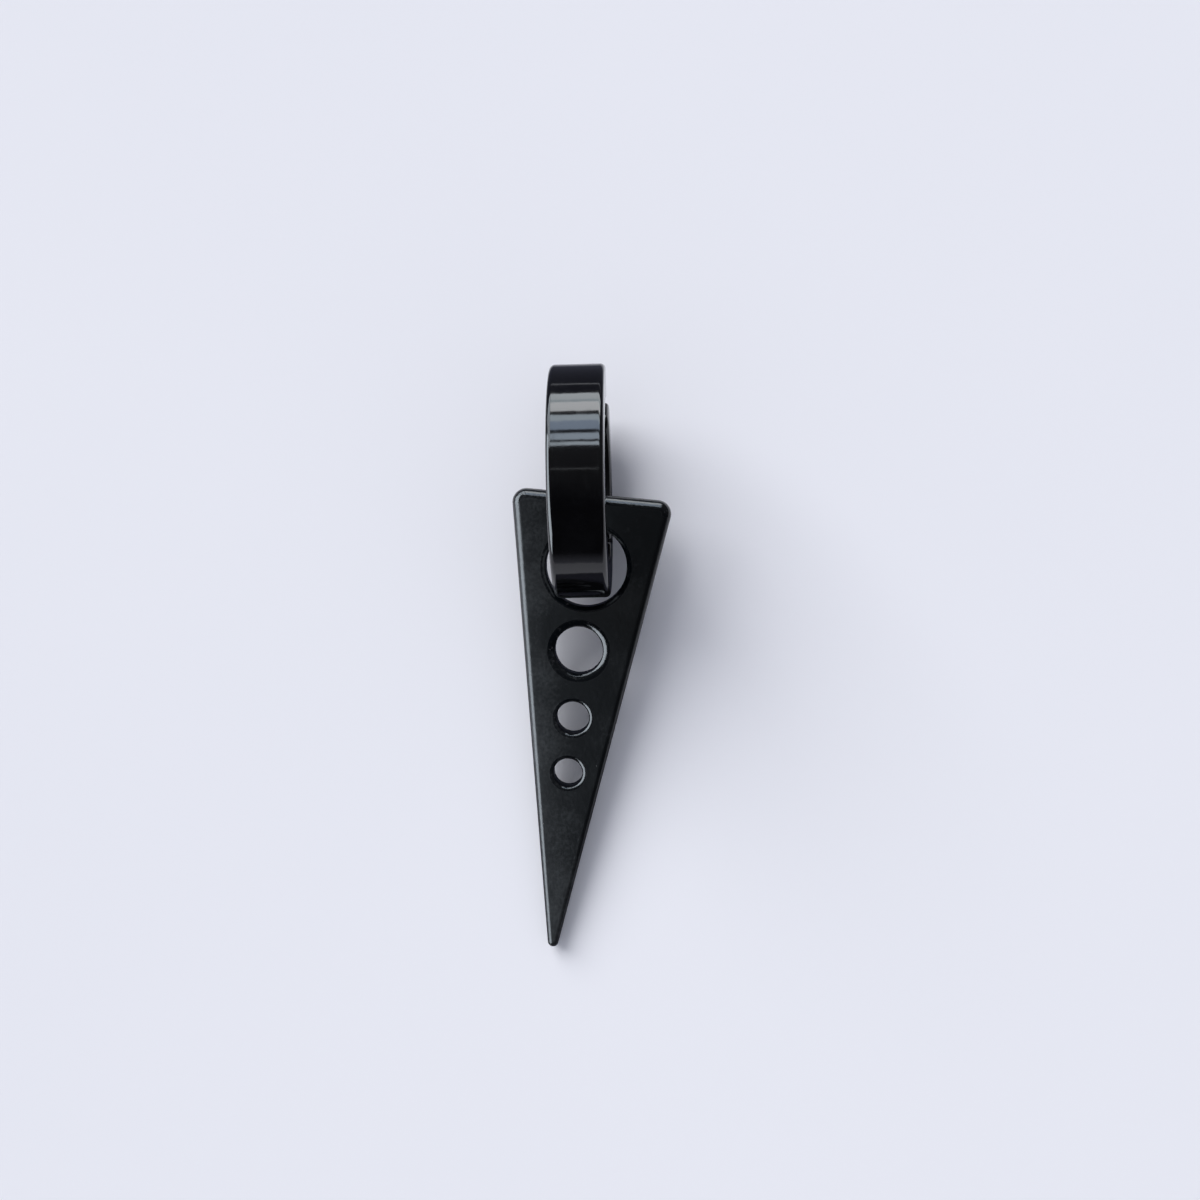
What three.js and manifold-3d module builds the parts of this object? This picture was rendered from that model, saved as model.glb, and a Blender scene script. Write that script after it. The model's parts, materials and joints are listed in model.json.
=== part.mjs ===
// A hinged hoop earring with a long triangular drop, in millimetres, +Z up.
// The hoop stands on its edge in the YZ plane, and the drop's big hole is threaded on it.
// The drop leans on the inside of the hoop and its tip touches the surface at Z = 0.
// The ear gap faces +Y and the drop points to -Y.
import * as THREE from "three";
import { mergeVertices } from "three/addons/utils/BufferGeometryUtils.js";
import Module from "manifold-3d";

const wasm = await Module();
wasm.setup();

// Hoop band. Angles round the hoop are in degrees from its lowest point towards +Y.
const hoopRadius = 7.4;
const bandThickness = 2.3;
const bandWidth = 3.5;
const bandEdgeRound = 0.3;
const edgeSteps = 2;
const hoopFlats = 32;
const hingeAngle = -50.6;
const armEndAngle = 49.5;
const frontEndAngle = 92;

// Hinge between the rear arm and the front of the hoop
const pinRadius = 0.45;
const pinBoreRadius = 0.5;
const pinEndInset = 0.05;
const tongueWidth = 1.2;
const hingeGap = 0.15;

// Ear post: pressed into the front's end, its tip caught in the arm's slot
const postRadius = 0.45;
const postBoreRadius = 0.5;
const postPathRadius = 6;
const postSocketDepth = 1.2;
const postPressDepth = 1.1;
const postTipDepth = 0.7;
const postTipChamfer = 0.12;
const slotDepth = 1.1;
const slotWidth = 1.3;
const slotOuterWall = 0.55;

// Drop plate: a long triangle with four holes on its middle line, measured from its top edge
const dropWidth = 10.7;
const dropLength = 31.8;
const dropThickness = 1.5;
const dropEdgeRound = 0.25;
const topCornerRadius = 0.9;
const tipRadius = 0.28;
const holes = [
  { distance: 4.7, radius: 2.65, rim: 0.28 },
  { distance: 10.25, radius: 1.58, rim: 0.2 },
  { distance: 14.75, radius: 1.08, rim: 0.15 },
  { distance: 18.45, radius: 0.96, rim: 0.12 },
];

// How the drop lies: its big hole's place beside the hoop's centre, its tilt and its turn
const dropOffsetX = 0.1;
const dropOffsetY = -5.3;
const dropTilt = 7.05;
const dropTurn = -6.6;

const roundSides = 32;
const postSides = 16;
const cornerSteps = 5;
const cutMargin = 1;

const blackSteel = new THREE.MeshStandardMaterial({ color: 0x14171a, roughness: 0.12, metalness: 0.6 });
const satinBlackSteel = new THREE.MeshStandardMaterial({ color: 0x1c2123, roughness: 0.3, metalness: 0.6 });
const wornBlack = new THREE.MeshStandardMaterial({ color: 0x1c1d20, roughness: 0.25, metalness: 0.6 });

const bandMiddleRadius = hoopRadius - bandThickness / 2;
const boreRadius = hoopRadius - bandThickness;
const bigHole = holes[0];

// A point of the YZ plane at a radius and an angle round the hoop, as the shape's x and y
function onHoop(radius, degrees) {
  const angle = THREE.MathUtils.degToRad(degrees);
  return new THREE.Vector2(radius * Math.sin(angle), -radius * Math.cos(angle));
}

// Turns a geometry drawn in XY and extruded along Z so that it lies in YZ and runs along X
function layInHoopPlane(geometry) {
  const alongY = new THREE.Vector3(0, 1, 0);
  const alongZ = new THREE.Vector3(0, 0, 1);
  const alongX = new THREE.Vector3(1, 0, 0);
  return geometry.applyMatrix4(new THREE.Matrix4().makeBasis(alongY, alongZ, alongX));
}

function toSolid(geometry) {
  geometry.deleteAttribute("normal");
  geometry.deleteAttribute("uv");
  const merged = mergeVertices(geometry);
  return new wasm.Manifold(new wasm.Mesh({
    numProp: 3,
    vertProperties: merged.attributes.position.array,
    triVerts: Uint32Array.from(merged.index.array),
  }));
}

function toGeometry(solid) {
  const mesh = solid.getMesh();
  const geometry = new THREE.BufferGeometry();
  geometry.setAttribute("position", new THREE.BufferAttribute(mesh.vertProperties, 3));
  geometry.setIndex(new THREE.BufferAttribute(mesh.triVerts, 1));
  const flatShaded = geometry.toNonIndexed();
  flatShaded.computeVertexNormals();
  return flatShaded;
}

// A closed slab of the hoop plane, from one X to another
function hoopPlaneSlab(shape, fromX, toX) {
  const slab = new THREE.ExtrudeGeometry(shape, { depth: toX - fromX, bevelEnabled: false });
  return toSolid(layInHoopPlane(slab.translate(0, 0, fromX)));
}

// A round rod along X, through a point of the hoop plane
function rodAlongX(point, radius, fromX, toX) {
  const rod = new THREE.CylinderGeometry(radius, radius, toX - fromX, roundSides);
  rod.rotateZ(-Math.PI / 2);
  return toSolid(rod.translate((fromX + toX) / 2, point.x, point.y));
}

// The whole ring, with a rounded-edge section and flats that touch the true circles
function fullBand() {
  const cornerFactor = 1 / Math.cos(Math.PI / hoopFlats);
  const section = [];
  const corners = [[1, 1], [-1, 1], [-1, -1], [1, -1]];
  corners.forEach(([outward, sideways], corner) => {
    for (let step = 0; step <= edgeSteps; step += 1) {
      const angle = (corner + step / edgeSteps) * Math.PI / 2;
      const radial = outward * (bandThickness / 2 - bandEdgeRound) + bandEdgeRound * Math.cos(angle);
      const across = sideways * (bandWidth / 2 - bandEdgeRound) + bandEdgeRound * Math.sin(angle);
      section.push(new THREE.Vector2((bandMiddleRadius + radial) * cornerFactor, across));
    }
  });
  section.push(section[0].clone());
  const ring = new THREE.LatheGeometry(section, hoopFlats, Math.PI / hoopFlats);
  return toSolid(ring.rotateZ(-Math.PI / 2));
}

// The part of the hoop plane between two angles
function wedge(fromAngle, toAngle) {
  const farRadius = 2 * hoopRadius;
  const steps = Math.ceil((toAngle - fromAngle) / 45);
  const shape = new THREE.Shape([new THREE.Vector2(0, 0)]);
  for (let step = 0; step <= steps; step += 1) {
    const point = onHoop(farRadius, fromAngle + (toAngle - fromAngle) * step / steps);
    shape.lineTo(point.x, point.y);
  }
  return hoopPlaneSlab(shape, -bandWidth, bandWidth);
}

const pinCentre = onHoop(bandMiddleRadius, hingeAngle);
const knuckleRadius = bandThickness / 2;
const bandSide = bandWidth / 2 + cutMargin;
const tongueSide = tongueWidth / 2;

// The post runs straight from the front's end to the arm's end
const postFrontPoint = onHoop(postPathRadius, frontEndAngle);
const postArmPoint = onHoop(postPathRadius, armEndAngle);
const postDirection = postFrontPoint.clone().sub(postArmPoint).normalize();
const postTilt = postDirection.angle();
const postTip = postArmPoint.clone().addScaledVector(postDirection, -postTipDepth);

// The blind bore in the front's end that the post is pressed into
function postSocket() {
  const length = postSocketDepth + cutMargin;
  const bore = new THREE.CylinderGeometry(postBoreRadius, postBoreRadius, length, postSides);
  bore.translate(0, postSocketDepth - length / 2, 0);
  bore.rotateX(postTilt);
  return toSolid(bore.translate(0, postFrontPoint.x, postFrontPoint.y));
}

function frontHoop() {
  const knuckle = rodAlongX(pinCentre, knuckleRadius, -bandSide, bandSide);
  const slotHalf = tongueSide + hingeGap;
  const tongueSlot = rodAlongX(pinCentre, knuckleRadius + hingeGap, -slotHalf, slotHalf);
  const pinBore = rodAlongX(pinCentre, pinBoreRadius, -bandSide, bandSide);
  return wedge(frontEndAngle, 360 + hingeAngle)
    .add(knuckle)
    .intersect(fullBand())
    .subtract(tongueSlot)
    .subtract(pinBore)
    .subtract(postSocket());
}

// The slot in the arm's end: open to the end face and to the inside of the hoop
function postSlot() {
  const depth = slotDepth + cutMargin;
  const height = bandThickness - slotOuterWall + cutMargin;
  const slot = new THREE.BoxGeometry(slotWidth, depth, height);
  slot.translate(0, cutMargin - depth / 2, slotOuterWall + height / 2 - knuckleRadius);
  slot.rotateX(THREE.MathUtils.degToRad(armEndAngle));
  const end = onHoop(bandMiddleRadius, armEndAngle);
  return toSolid(slot.translate(0, end.x, end.y));
}

function rearArm() {
  const knuckle = rodAlongX(pinCentre, knuckleRadius, -tongueSide, tongueSide);
  const earRoom = knuckleRadius + hingeGap;
  const leftEarRoom = rodAlongX(pinCentre, earRoom, -bandSide, -tongueSide);
  const rightEarRoom = rodAlongX(pinCentre, earRoom, tongueSide, bandSide);
  const pinBore = rodAlongX(pinCentre, pinBoreRadius, -bandSide, bandSide);
  return wedge(hingeAngle, armEndAngle)
    .add(knuckle)
    .intersect(fullBand())
    .subtract(leftEarRoom)
    .subtract(rightEarRoom)
    .subtract(pinBore)
    .subtract(postSlot());
}

function hingePin() {
  const length = bandWidth - 2 * pinEndInset;
  const pin = new THREE.CylinderGeometry(pinRadius, pinRadius, length, roundSides);
  return pin.rotateZ(-Math.PI / 2);
}

// The post stands along +Y here, with its tip at the origin
function earPost() {
  const span = postFrontPoint.distanceTo(postArmPoint);
  const length = postTipDepth + span + postPressDepth;
  const profile = [
    new THREE.Vector2(0, 0),
    new THREE.Vector2(postRadius - postTipChamfer, 0),
    new THREE.Vector2(postRadius, postTipChamfer),
    new THREE.Vector2(postRadius, length),
    new THREE.Vector2(0, length),
  ];
  return new THREE.LatheGeometry(profile, postSides);
}

const halfPoint = Math.atan2(dropWidth / 2, dropLength);

// The triangle's outline, with its top edge on y = 0 and its point down
function dropOutline() {
  const halfTop = Math.PI / 4 - halfPoint / 2;
  const cornerX = dropWidth / 2 - topCornerRadius / Math.tan(halfTop);
  const tipY = -dropLength + tipRadius / Math.sin(halfPoint);
  const shape = new THREE.Shape();
  shape.absarc(cornerX, -topCornerRadius, topCornerRadius, Math.PI / 2, -halfPoint, true);
  shape.absarc(0, tipY, tipRadius, -halfPoint, Math.PI + halfPoint, true);
  shape.absarc(-cornerX, -topCornerRadius, topCornerRadius, Math.PI + halfPoint, Math.PI / 2, true);
  return shape;
}

// The cutter of one hole, with a chamfered rim on both faces of the plate
function holeCutter({ distance, radius, rim }) {
  const half = dropThickness / 2;
  const profile = [
    new THREE.Vector2(0, -half - cutMargin),
    new THREE.Vector2(radius + rim + cutMargin, -half - cutMargin),
    new THREE.Vector2(radius, rim - half),
    new THREE.Vector2(radius, half - rim),
    new THREE.Vector2(radius + rim + cutMargin, half + cutMargin),
    new THREE.Vector2(0, half + cutMargin),
  ];
  const cutter = new THREE.LatheGeometry(profile, roundSides);
  cutter.rotateX(Math.PI / 2);
  return toSolid(cutter.translate(0, -distance, 0));
}

// The plate, with its big hole's centre at the origin and its faces square to Z
function dropPlate() {
  const plate = new THREE.ExtrudeGeometry(dropOutline(), {
    depth: dropThickness - 2 * dropEdgeRound,
    bevelThickness: dropEdgeRound,
    bevelSize: dropEdgeRound,
    bevelOffset: -dropEdgeRound,
    bevelSegments: edgeSteps,
    curveSegments: cornerSteps,
  });
  plate.translate(0, 0, dropEdgeRound - dropThickness / 2);
  const pierced = holes.reduce((solid, hole) => solid.subtract(holeCutter(hole)), toSolid(plate));
  return toGeometry(pierced).translate(0, bigHole.distance, 0);
}

function namedMesh(name, geometry, material) {
  const mesh = new THREE.Mesh(geometry, material);
  mesh.name = name;
  return mesh;
}

// The hoop, with its centre at the group's origin
const hoop = new THREE.Group();
const pin = namedMesh("hinge_pin", hingePin(), wornBlack);
pin.position.set(0, pinCentre.x, pinCentre.y);
const post = namedMesh("ear_post", earPost(), wornBlack);
post.position.set(0, postTip.x, postTip.y);
post.rotation.x = postTilt;
hoop.add(
  namedMesh("front_hoop", toGeometry(frontHoop()), blackSteel),
  namedMesh("rear_arm", toGeometry(rearArm()), blackSteel),
  pin,
  post,
);
hoop.position.z = hoopRadius;

// The drop's tip touches the surface, and its tilt sets the height of its big hole
const tipFromTop = dropLength - tipRadius / Math.sin(halfPoint) + tipRadius - dropEdgeRound;
const tilt = THREE.MathUtils.degToRad(dropTilt);
const bigHoleHeight = (tipFromTop - bigHole.distance) * Math.sin(tilt) + dropThickness / 2 * Math.cos(tilt);
const drop = namedMesh("triangle_drop", dropPlate(), satinBlackSteel);
drop.rotation.set(tilt, 0, THREE.MathUtils.degToRad(dropTurn), "ZYX");
drop.position.set(dropOffsetX, dropOffsetY, bigHoleHeight);

// The origin is the bottom centre of the whole earring
const earring = new THREE.Group();
earring.add(hoop, drop);
const box = new THREE.Box3().setFromObject(earring, true);
const middle = box.getCenter(new THREE.Vector3());
earring.position.set(-middle.x, -middle.y, -box.min.z);

export default earring;
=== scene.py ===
import json
import math

import bmesh
import bpy
from mathutils import Matrix, Vector


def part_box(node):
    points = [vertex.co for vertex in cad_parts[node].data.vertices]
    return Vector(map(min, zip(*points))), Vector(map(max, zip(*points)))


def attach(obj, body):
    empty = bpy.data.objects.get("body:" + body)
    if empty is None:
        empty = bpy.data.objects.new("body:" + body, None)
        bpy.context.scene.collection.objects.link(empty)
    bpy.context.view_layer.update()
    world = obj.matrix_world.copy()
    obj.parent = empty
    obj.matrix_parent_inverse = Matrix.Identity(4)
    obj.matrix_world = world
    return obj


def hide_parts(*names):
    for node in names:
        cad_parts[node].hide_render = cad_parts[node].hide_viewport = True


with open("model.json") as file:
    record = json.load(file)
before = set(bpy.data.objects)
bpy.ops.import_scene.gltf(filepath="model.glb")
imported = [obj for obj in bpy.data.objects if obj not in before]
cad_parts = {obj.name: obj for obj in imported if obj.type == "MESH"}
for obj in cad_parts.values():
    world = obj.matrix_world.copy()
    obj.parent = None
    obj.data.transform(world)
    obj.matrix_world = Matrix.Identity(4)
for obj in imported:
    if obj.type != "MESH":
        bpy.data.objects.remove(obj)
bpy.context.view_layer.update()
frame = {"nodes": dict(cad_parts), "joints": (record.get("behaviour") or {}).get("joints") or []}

mm = 0.001
print("frame loaded:", ", ".join(sorted(frame["nodes"])))

# the hoop's centre and the pin's centre are the two joints' own places
joints = {joint["name"]: joint for joint in frame["joints"]}
hoopCentre = Vector(joints["drop_swing"]["pos_m"])
pinCentre = Vector(joints["arm_hinge"]["pos_m"])
hoopLow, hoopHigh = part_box("front_hoop")
hoopRadius = hoopHigh.z - hoopCentre.z
hoopWidth = hoopHigh.x - hoopLow.x

tinyGap = 0.0005 * mm
beyond = 1 * mm
quarterTurn = math.pi / 2
xAxis = Vector((1, 0, 0))


# ---- mesh helpers

def vertsIn(geom):
    return [item for item in geom if isinstance(item, bmesh.types.BMVert)]


def loopEdges(verts):
    # the edges that run between these vertices
    ring = set(verts)
    edges = {edge for vert in verts for edge in vert.link_edges}
    return [edge for edge in edges if edge.verts[0] in ring and edge.verts[1] in ring]


def linkedObject(name, bm):
    mesh = bpy.data.meshes.new(name)
    bm.to_mesh(mesh)
    bm.free()
    made = bpy.data.objects.new(name, mesh)
    bpy.context.scene.collection.objects.link(made)
    return made


def bakeModifiers(piece):
    bpy.context.view_layer.update()
    seen = piece.evaluated_get(bpy.context.evaluated_depsgraph_get())
    baked = bpy.data.meshes.new_from_object(seen)
    piece.modifiers.clear()
    piece.data = baked
    piece.data.name = piece.name


def cutAway(piece, cutters):
    for cutter in cutters:
        cut = piece.modifiers.new(cutter.name, "BOOLEAN")
        cut.operation = "DIFFERENCE"
        cut.solver = "EXACT"
        cut.object = cutter
    bakeModifiers(piece)
    for cutter in cutters:
        bpy.data.objects.remove(cutter)


def softenEdges(piece, width, segments, sharpDegrees):
    # breaks the edges that a cut left sharp
    bm = bmesh.new()
    bm.from_mesh(piece.data)
    bmesh.ops.remove_doubles(bm, verts=bm.verts, dist=tinyGap)
    bmesh.ops.dissolve_degenerate(bm, edges=bm.edges, dist=tinyGap)
    bm.to_mesh(piece.data)
    bm.free()
    soften = piece.modifiers.new("brokenEdges", "BEVEL")
    soften.limit_method = "ANGLE"
    soften.angle_limit = math.radians(sharpDegrees)
    soften.width = width
    soften.segments = segments
    soften.use_clamp_overlap = False
    soften.miter_outer = "MITER_ARC"
    bakeModifiers(piece)


def roundOff(bm, geom, width, steps, affect="EDGES"):
    bmesh.ops.bevel(bm, geom=geom, offset=width, offset_type="OFFSET", affect=affect,
                    segments=steps, profile=0.5, material=-1)


def markRims(piece, flatArea):
    # a mask that is 1 on the rounded edges and 0 on the flats between them
    bm = bmesh.new()
    bm.from_mesh(piece.data)
    rim = bm.verts.layers.float.new("rim")
    for vert in bm.verts:
        onFlat = any(face.calc_area() > flatArea for face in vert.link_faces)
        vert[rim] = 0.0 if onFlat else 1.0
    for face in bm.faces:
        face.smooth = True
    bm.to_mesh(piece.data)
    bm.free()


def finishPiece(piece, body, node, material, flatArea):
    markRims(piece, flatArea)
    even = piece.modifiers.new("evenNormals", "WEIGHTED_NORMAL")
    even.mode = "FACE_AREA"
    even.weight = 100
    even.keep_sharp = True
    piece.data.materials.clear()
    piece.data.materials.append(material)
    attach(piece, body)
    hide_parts(node)
    print("made", piece.name, len(piece.data.polygons), "faces")


def rodAlongX(name, centre, radius, fromX, toX, sides):
    bm = bmesh.new()
    bmesh.ops.create_cone(bm, cap_ends=True, cap_tris=False, segments=sides,
                          radius1=radius, radius2=radius, depth=toX - fromX)
    bmesh.ops.rotate(bm, verts=bm.verts, cent=(0, 0, 0), matrix=Matrix.Rotation(quarterTurn, 3, "Y"))
    middle = Vector((centre.x + (fromX + toX) / 2, centre.y, centre.z))
    bmesh.ops.translate(bm, verts=bm.verts, vec=middle)
    return linkedObject(name, bm)


# ---- node helpers

def addNode(tree, kind, place, **settings):
    node = tree.nodes.new(kind)
    node.location = place
    for name, value in settings.items():
        setattr(node, name, value)
    return node


def setInput(tree, socket, value):
    # the value is a plain one or the socket that it comes from
    if isinstance(value, bpy.types.NodeSocket):
        tree.links.new(value, socket)
    else:
        socket.default_value = value


def newGroup(name, inputs, outputs):
    tree = bpy.data.node_groups.new(name, "ShaderNodeTree")
    for socketName, socketType, value in inputs:
        socket = tree.interface.new_socket(name=socketName, in_out="INPUT", socket_type=socketType)
        if value is not None:
            socket.default_value = value
    for socketName, socketType in outputs:
        tree.interface.new_socket(name=socketName, in_out="OUTPUT", socket_type=socketType)
    entry = addNode(tree, "NodeGroupInput", (-900, 0))
    leave = addNode(tree, "NodeGroupOutput", (700, 0))
    return tree, entry, leave


def maths(tree, operation, place, first, second, clamp=False):
    node = addNode(tree, "ShaderNodeMath", place, operation=operation, use_clamp=clamp)
    setInput(tree, node.inputs[0], first)
    setInput(tree, node.inputs[1], second)
    return node.outputs[0]


def spread(tree, place, value, fromLow, fromHigh, toLow, toHigh, smooth=False):
    node = addNode(tree, "ShaderNodeMapRange", place, clamp=True)
    node.interpolation_type = "SMOOTHSTEP" if smooth else "LINEAR"
    tree.links.new(value, node.inputs["Value"])
    limits = {"From Min": fromLow, "From Max": fromHigh, "To Min": toLow, "To Max": toHigh}
    for name, limit in limits.items():
        setInput(tree, node.inputs[name], limit)
    return node.outputs["Result"]


def noise(tree, place, vector, scale, detail, roughness=0.5):
    node = addNode(tree, "ShaderNodeTexNoise", place)
    node.inputs["Detail"].default_value = detail
    node.inputs["Roughness"].default_value = roughness
    tree.links.new(vector, node.inputs["Vector"])
    setInput(tree, node.inputs["Scale"], scale)
    return node.outputs["Fac"]


# ---- shared effects of the black finish, all on object coordinates in millimetres

def makeOrangePeel():
    # the slow ripple and the fine grain of a plated coat
    tree, entry, leave = newGroup(
        "orangePeel",
        [("Vector", "NodeSocketVector", None), ("Ripple Scale", "NodeSocketFloat", 2.0),
         ("Grain Scale", "NodeSocketFloat", 12.0), ("Grain Share", "NodeSocketFloat", 0.3)],
        [("Height", "NodeSocketFloat")])
    ripple = noise(tree, (-600, 150), entry.outputs["Vector"], entry.outputs["Ripple Scale"], 2)
    grain = noise(tree, (-600, -150), entry.outputs["Vector"], entry.outputs["Grain Scale"], 3, 0.6)
    fine = maths(tree, "MULTIPLY", (-300, -150), grain, entry.outputs["Grain Share"])
    total = maths(tree, "ADD", (0, 0), ripple, fine)
    tree.links.new(total, leave.inputs["Height"])
    return tree


# where a smudge begins and is full, and how far the wiping lines are drawn out
smudgeShape = {
    "patchLow": 0.42, "patchHigh": 0.68, "lineLow": 0.5, "lineHigh": 0.75, "leastWiped": 0.3,
    "stretch": (1.0, 0.08, 1.0),
}


def makeSmudge():
    # fingermarks and wiping haze, from 0 for clean to 1 for hazy
    tree, entry, leave = newGroup(
        "smudge",
        [("Vector", "NodeSocketVector", None), ("Scale", "NodeSocketFloat", 0.3),
         ("Streak", "NodeSocketFloat", 6.0)],
        [("Haze", "NodeSocketFloat")])
    cloud = noise(tree, (-600, 150), entry.outputs["Vector"], entry.outputs["Scale"], 4, 0.6)
    patches = spread(tree, (-300, 150), cloud, smudgeShape["patchLow"], smudgeShape["patchHigh"],
                     0.0, 1.0, smooth=True)
    stretched = addNode(tree, "ShaderNodeMapping", (-700, -150))
    stretched.inputs["Scale"].default_value = smudgeShape["stretch"]
    tree.links.new(entry.outputs["Vector"], stretched.inputs["Vector"])
    lines = noise(tree, (-450, -150), stretched.outputs["Vector"], entry.outputs["Streak"], 2, 0.7)
    wiped = spread(tree, (-200, -150), lines, smudgeShape["lineLow"], smudgeShape["lineHigh"],
                   smudgeShape["leastWiped"], 1.0)
    haze = maths(tree, "MULTIPLY", (100, 0), patches, wiped, clamp=True)
    tree.links.new(haze, leave.inputs["Haze"])
    return tree


def makeDust():
    # sparse tiny specks: only the cells with a high random value hold one
    tree, entry, leave = newGroup(
        "dust",
        [("Vector", "NodeSocketVector", None), ("Scale", "NodeSocketFloat", 1.5),
         ("Rarity", "NodeSocketFloat", 0.8), ("Size", "NodeSocketFloat", 0.06)],
        [("Speck", "NodeSocketFloat")])
    cells = addNode(tree, "ShaderNodeTexVoronoi", (-600, 0), feature="F1")
    tree.links.new(entry.outputs["Vector"], cells.inputs["Vector"])
    tree.links.new(entry.outputs["Scale"], cells.inputs["Scale"])
    pick = addNode(tree, "ShaderNodeSeparateColor", (-350, -150))
    tree.links.new(cells.outputs["Color"], pick.inputs["Color"])
    chosen = maths(tree, "GREATER_THAN", (-150, -150), pick.outputs["Red"], entry.outputs["Rarity"])
    uneven = maths(tree, "MULTIPLY", (-150, -320), pick.outputs["Green"], entry.outputs["Size"])
    near = maths(tree, "LESS_THAN", (-150, 100), cells.outputs["Distance"], uneven)
    speck = maths(tree, "MULTIPLY", (150, 0), near, chosen)
    tree.links.new(speck, leave.inputs["Speck"])
    return tree


wornThrough = 0.8


def makeRimWear():
    # where the coat is rubbed thin along the rounded edges
    tree, entry, leave = newGroup(
        "rimWear",
        [("Vector", "NodeSocketVector", None), ("Rim", "NodeSocketFloat", 0.0),
         ("Scale", "NodeSocketFloat", 3.0), ("Bite", "NodeSocketFloat", 0.6)],
        [("Worn", "NodeSocketFloat")])
    patchy = noise(tree, (-600, 100), entry.outputs["Vector"], entry.outputs["Scale"], 5, 0.65)
    lifted = spread(tree, (-300, 100), patchy, entry.outputs["Bite"], wornThrough, 0.0, 1.0)
    worn = maths(tree, "MULTIPLY", (0, 0), lifted, entry.outputs["Rim"], clamp=True)
    tree.links.new(worn, leave.inputs["Worn"])
    return tree


orangePeel = makeOrangePeel()
smudge = makeSmudge()
dust = makeDust()
rimWear = makeRimWear()


# how the coat's tone follows its noise, and how the specks stand out from it
coatTone = {"low": 0.44, "high": 0.66, "most": 0.65}
speckRoughness = 0.5
speckHeight = 0.5


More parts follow.
